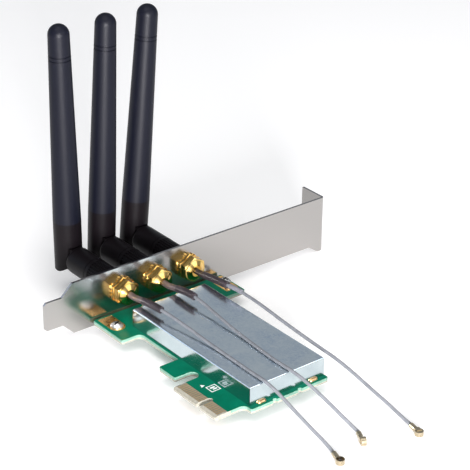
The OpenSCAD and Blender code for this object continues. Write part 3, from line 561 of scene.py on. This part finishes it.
can_finish = new_finish("can tin", smears, 90.0, Metallic=1.0)
vary_roughness(can_finish, "Cloud", 0.11, 0.24)
raise_bumps(can_finish, "Cloud", 0.03, 0.0001)
stains = both(can_finish, spread(can_finish, "Cloud", 0.0, 1.0), spread(can_finish, "Scratch", 0.3, 1.0))
# The lid's bluish tint is a painted reflection of the room; the darker cloudy patches are stains
lid = mix(can_finish, stains, (0.89, 0.98, 1.0), (0.57, 0.70, 0.84))
# Painted reflection: the walls are coloured darker and teal grey
walls_painted_reflection = blend(can_finish, "Cloud", (0.45, 0.53, 0.56), (0.60, 0.67, 0.69))
on_walls = less(can_finish, coordinates(can_finish)["Z"], LID_UNDERSIDE)
feed(can_finish, mix(can_finish, on_walls, lid, walls_painted_reflection), "Base Color")
give(can_finish, "shield_can")

solder_finish = new_finish("solder", smears, 700.0, Metallic=1.0)
vary_roughness(solder_finish, "Cloud", 0.18, 0.4)
# Painted reflection: the solder's orange-gold colours stand in for the gold and board it mirrors
vary_color(solder_finish, "Scratch", (0.72, 0.36, 0.10), (0.84, 0.66, 0.42))
give(solder_finish, "solder_joints", "ground_bead")

# %% [markdown]
# ### Connectors
# The turned connectors are gold-plated and highly polished. Fine turning marks run around their axis,
# which is X, so the noise is drawn out across it. The brass inside the antennas' sleeves is plain, and
# the ferrules are dull tin.

# %% Connectors
plate_finish = new_finish("gold plate", brushed, 900.0, RINGS_AROUND_X, Metallic=1.0)
vary_roughness(plate_finish, "Lines", 0.07, 0.22)
vary_color(plate_finish, "Lines", (0.52, 0.28, 0.05), (0.94, 0.68, 0.25))
raise_bumps(plate_finish, "Lines", 0.16, 0.00003)
give(plate_finish, *three("connector_body"), *three("star_washer"), *three("panel_nut"))

brass_finish = new_finish(
    "turned brass", brushed, 900.0, RINGS_AROUND_X, Metallic=1.0, Base_Color=(0.74, 0.53, 0.22, 1)
)
vary_roughness(brass_finish, "Lines", 0.22, 0.36)
give(brass_finish, *three("coupling_nut"), *three("plug_core"))

ferrule_finish = new_finish("tinned ferrule", smears, 600.0, Metallic=1.0)
vary_roughness(ferrule_finish, "Scratch", 0.24, 0.42)
vary_color(ferrule_finish, "Cloud", (0.20, 0.17, 0.17), (0.42, 0.38, 0.38))
give(ferrule_finish, *three("crimp_ferrule"))

white_finish = new_finish("white insulator", smears, 500.0, Base_Color=(0.86, 0.86, 0.83, 1))
vary_roughness(white_finish, "Cloud", 0.4, 0.55)
give(white_finish, *three("connector_insulator"))

# %% [markdown]
# ### Cables and sleeves
# The jacket is smooth grey plastic, and the plugs at its end are a paler and duller gold. The heat-shrink
# is dark with faint wrinkles along it. The first two sleeves are browner where they grip the connector,
# up to a step that lies 12.6 mm from the bracket.

# %% Cables, plugs and sleeves
SLEEVE_STEP = on_card(12.6, 50)

plug_finish = new_finish("plug gold", smears, 800.0, Metallic=1.0)
vary_roughness(plug_finish, "Cloud", 0.2, 0.4)
vary_color(plug_finish, "Scratch", (0.38, 0.31, 0.20), (0.66, 0.57, 0.41))
give(plug_finish, *three("cable_plug"))

core_finish = new_finish("dark insulator", smears, 500.0, Base_Color=(0.05, 0.04, 0.03, 1))
vary_roughness(core_finish, "Cloud", 0.4, 0.6)
give(core_finish, *three("plug_insulator"))

jacket_finish = new_finish("cable jacket", smears, 500.0, Roughness=0.35)
vary_color(jacket_finish, "Cloud", (0.13, 0.137, 0.15), (0.18, 0.187, 0.203))
give(jacket_finish, *three("lead"))

shrink_finish = new_finish(
    "heat shrink", brushed, 900.0, LINES_ALONG_X, Roughness=0.4, Specular_IOR_Level=0.35
)
along = coordinates(shrink_finish)
gripping = both(
    shrink_finish,
    less(shrink_finish, along["X"], SLEEVE_STEP.x),
    less(shrink_finish, along["Y"], SLEEVE_STEP.y),
)
dark = blend(shrink_finish, "Lines", (0.010, 0.008, 0.009), (0.045, 0.035, 0.042))
brownish = blend(shrink_finish, "Lines", (0.03, 0.022, 0.022), (0.15, 0.115, 0.115))
feed(shrink_finish, mix(shrink_finish, gripping, dark, brownish), "Base Color")
raise_bumps(shrink_finish, "Lines", 0.3, 0.0001)
give(shrink_finish, *three("shrink_sleeve"))

slim_finish = new_finish("slim sleeve", smears, 700.0, Roughness=0.45)
vary_color(slim_finish, "Cloud", (0.13, 0.13, 0.15), (0.20, 0.20, 0.23))
give(slim_finish, "slim_sleeve")

# %% [markdown]
# ### Antennas
# The antennas are matt black moulded plastic with a fine spark-eroded grain. The knuckles, the elbows
# and the knurled sleeves are of the same kind, and a little glossier.

# %% Antennas
GRAIN_SCALE = 2500.0
GRAIN_HEIGHT = 0.00006

antenna_finish = new_finish("antenna plastic", smears, GRAIN_SCALE, Specular_IOR_Level=0.19)
vary_roughness(antenna_finish, "Cloud", 0.38, 0.52)
vary_color(antenna_finish, "Scratch", (0.0015, 0.002, 0.006), (0.004, 0.0045, 0.010))
raise_bumps(antenna_finish, "Cloud", 0.25, GRAIN_HEIGHT)
give(antenna_finish, *three("antenna_cover"))

knuckle_finish = new_finish(
    "knuckle plastic", smears, GRAIN_SCALE, Specular_IOR_Level=0.13, Base_Color=(0.0045, 0.0032, 0.0042, 1)
)
vary_roughness(knuckle_finish, "Cloud", 0.34, 0.48)
raise_bumps(knuckle_finish, "Cloud", 0.2, GRAIN_HEIGHT)
give(knuckle_finish, *three("knurled_sleeve"), *three("antenna_knuckle"), *three("antenna_elbow"))

# %% [markdown]
# ## Floor and light
# The card stands on a plain white surface, which glows a little so that it stays white in the shadows. A
# wide panel hangs overhead. A small, strong one low on the camera's side lights the edges that face the
# camera and draws a sheen along the black antennas. Two weak ones fill in from the left and the right,
# and the can's top mirrors the dim, bluish room.

# %% Floor
FLOOR_SIZE = 6

bpy.ops.object.select_all(action="DESELECT")
bpy.ops.mesh.primitive_plane_add(size=FLOOR_SIZE, location=(0, 0, cad_low.z))
floor = bpy.context.object
floor.name = "studio_floor"
bpy.ops.object.transform_apply(location=True)
floor_finish = new_finish(
    "studio floor",
    Base_Color=(0.90, 0.89, 0.88, 1),
    Roughness=0.9,
    Emission_Color=(1.0, 0.99, 0.97, 1),
    Emission_Strength=0.18,
)
give(floor_finish, "studio_floor")

# %% Light
LIGHT_TARGET = Vector((0.03, -0.06, 0.02))
# Each panel's name, place in metres, side in metres, power in watts and colour
PANELS = [
    ("overhead_panel", (0.15, -0.25, 1.1), 1.0, 6.3, (1.0, 0.985, 0.96)),
    ("front_panel", (0.75, -0.52, 0.13), 0.22, 19, (1.0, 0.98, 1.0)),
    ("left_panel", (-0.75, -0.75, 0.35), 0.4, 0.5, (0.62, 0.76, 1.0)),
    ("right_panel", (0.9, 0.35, 0.6), 0.7, 3, (1, 1, 1)),
]
ROOM_COLOR = (0.50, 0.53, 0.58, 1)
ROOM_STRENGTH = 0.65

for name, place, side, power, color in PANELS:
    data = bpy.data.lights.new(name, "AREA")
    data.shape = "SQUARE"
    data.size = side
    data.energy = power
    data.color = color
    light = bpy.data.objects.new(name, data)
    scene.collection.objects.link(light)
    light.location = place
    light.rotation_mode = "QUATERNION"
    light.rotation_quaternion = (LIGHT_TARGET - Vector(place)).to_track_quat("-Z", "Y")
    print(name, power, "W")

world = bpy.data.worlds.new("studio_room")
world.use_nodes = True
world.node_tree.nodes["Background"].inputs["Color"].default_value = ROOM_COLOR
world.node_tree.nodes["Background"].inputs["Strength"].default_value = ROOM_STRENGTH
scene.world = world
scene.view_settings.view_transform = "Standard"
